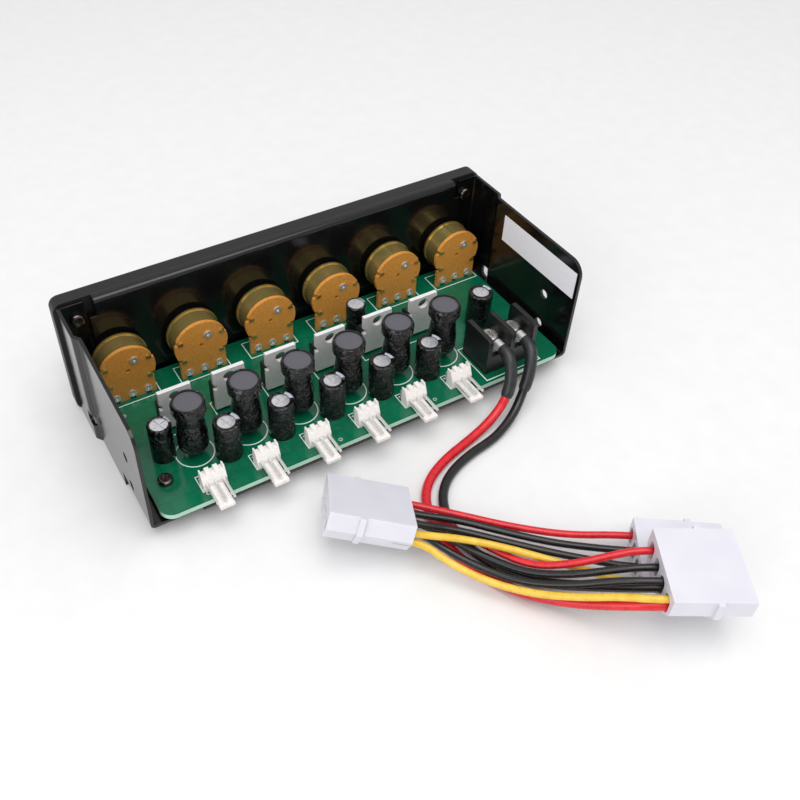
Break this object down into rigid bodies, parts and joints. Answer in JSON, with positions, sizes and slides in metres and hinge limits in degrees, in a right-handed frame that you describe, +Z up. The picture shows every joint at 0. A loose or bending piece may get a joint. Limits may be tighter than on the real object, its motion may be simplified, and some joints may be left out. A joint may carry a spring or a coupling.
{
  "type": "pc fan controller hub",
  "caption": "Open steel tray fan controller for a computer drive bay, with knobs in a front panel, a board of power parts, fan headers and a harness of nylon plugs.",
  "frame": {"origin": "on the surface that the unit stands on, under the middle of the unit without its harness", "axes": "+X along the width, -Y out of the front panel towards the user, +Y out of the open back, +Z up"},
  "size_m": [0.148, 0.1794, 0.042],
  "materials": {
    "black_steel": "satin black paint on folded steel",
    "panel_black": "fine matte black",
    "screw_black": "black oxide",
    "board_green": "green solder mask",
    "spacer_nylon": "natural nylon",
    "bright_steel": "bright zinc",
    "zinc_yellow": "yellow passivated zinc",
    "phenolic": "brown phenolic paper",
    "tinned_metal": "tin plate",
    "shaft_aluminium": "turned",
    "knob_black": "matte moulded black",
    "tab_metal": "tinned copper tab",
    "epoxy_black": "moulded epoxy",
    "shrink_black": "glossy shrink sleeve",
    "ferrite": "matte ferrite",
    "can_aluminium": "bright drawn can",
    "header_white": "white nylon",
    "block_black": "moulded black",
    "label_white": "blank white label",
    "nylon": "natural translucent nylon",
    "sleeve_grey": "dark grey shrink sleeve",
    "pvc_red": "red cable jacket",
    "pvc_black": "black cable jacket",
    "pvc_yellow": "yellow cable jacket"
  },
  "bodies": {
    "unit": {"blank_label": "label_white", "board_screws": "screw_black", "board_spacers": "spacer_nylon", "capacitor_cans": "can_aluminium", "capacitor_sleeves": "shrink_black", "chassis_tray": "black_steel", "choke_cores": "ferrite", "choke_leads": "tinned_metal", "choke_sleeves": "shrink_black", "circuit_board": "board_green", "fan_headers": "header_white", "front_panel": "panel_black", "header_pins": "tinned_metal", "lead_black": "pvc_black", "lead_lugs": "tinned_metal", "lead_red": "pvc_red", "lead_sleeve_black": "sleeve_grey", "lead_sleeve_red": "sleeve_grey", "panel_screws": "screw_black", "plug_inlet": "nylon", "plug_outlet": "nylon", "plug_pins": "tinned_metal", "plug_supply": "nylon", "pot_can_1": "zinc_yellow", "pot_can_2": "zinc_yellow", "pot_can_3": "zinc_yellow", "pot_can_4": "zinc_yellow", "pot_can_5": "zinc_yellow", "pot_can_6": "zinc_yellow", "pot_nuts": "bright_steel", "pot_plates": "phenolic", "pot_terminals": "tinned_metal", "terminal_block": "block_black", "terminal_plates": "tinned_metal", "terminal_screws": "bright_steel", "transistor_bodies": "epoxy_black", "transistor_leads": "tinned_metal", "transistor_tabs": "tab_metal", "wire_black_a": "pvc_black", "wire_black_b": "pvc_black", "wire_black_c": "pvc_black", "wire_black_d": "pvc_black", "wire_red_a": "pvc_red", "wire_red_b": "pvc_red", "wire_yellow_a": "pvc_yellow", "wire_yellow_b": "pvc_yellow"},
    "dial_1": {"pot_shaft_1": "shaft_aluminium", "knob_1": "knob_black"},
    "dial_2": {"pot_shaft_2": "shaft_aluminium", "knob_2": "knob_black"},
    "dial_3": {"pot_shaft_3": "shaft_aluminium", "knob_3": "knob_black"},
    "dial_4": {"pot_shaft_4": "shaft_aluminium", "knob_4": "knob_black"},
    "dial_5": {"pot_shaft_5": "shaft_aluminium", "knob_5": "knob_black"},
    "dial_6": {"pot_shaft_6": "shaft_aluminium", "knob_6": "knob_black"}
  },
  "joints": [
    {"name": "turn_1", "type": "hinge", "parent": "unit", "child": "dial_1", "pos_m": [-0.059, 0, 0.02], "axis": [0, 1, 0], "range_deg": [-150, 150]},
    {"name": "turn_2", "type": "hinge", "parent": "unit", "child": "dial_2", "pos_m": [-0.0354, 0, 0.02], "axis": [0, 1, 0], "range_deg": [-150, 150]},
    {"name": "turn_3", "type": "hinge", "parent": "unit", "child": "dial_3", "pos_m": [-0.0118, 0, 0.02], "axis": [0, 1, 0], "range_deg": [-150, 150]},
    {"name": "turn_4", "type": "hinge", "parent": "unit", "child": "dial_4", "pos_m": [0.0118, 0, 0.02], "axis": [0, 1, 0], "range_deg": [-150, 150]},
    {"name": "turn_5", "type": "hinge", "parent": "unit", "child": "dial_5", "pos_m": [0.0354, 0, 0.02], "axis": [0, 1, 0], "range_deg": [-150, 150]},
    {"name": "turn_6", "type": "hinge", "parent": "unit", "child": "dial_6", "pos_m": [0.059, 0, 0.02], "axis": [0, 1, 0], "range_deg": [-150, 150]}
  ]
}
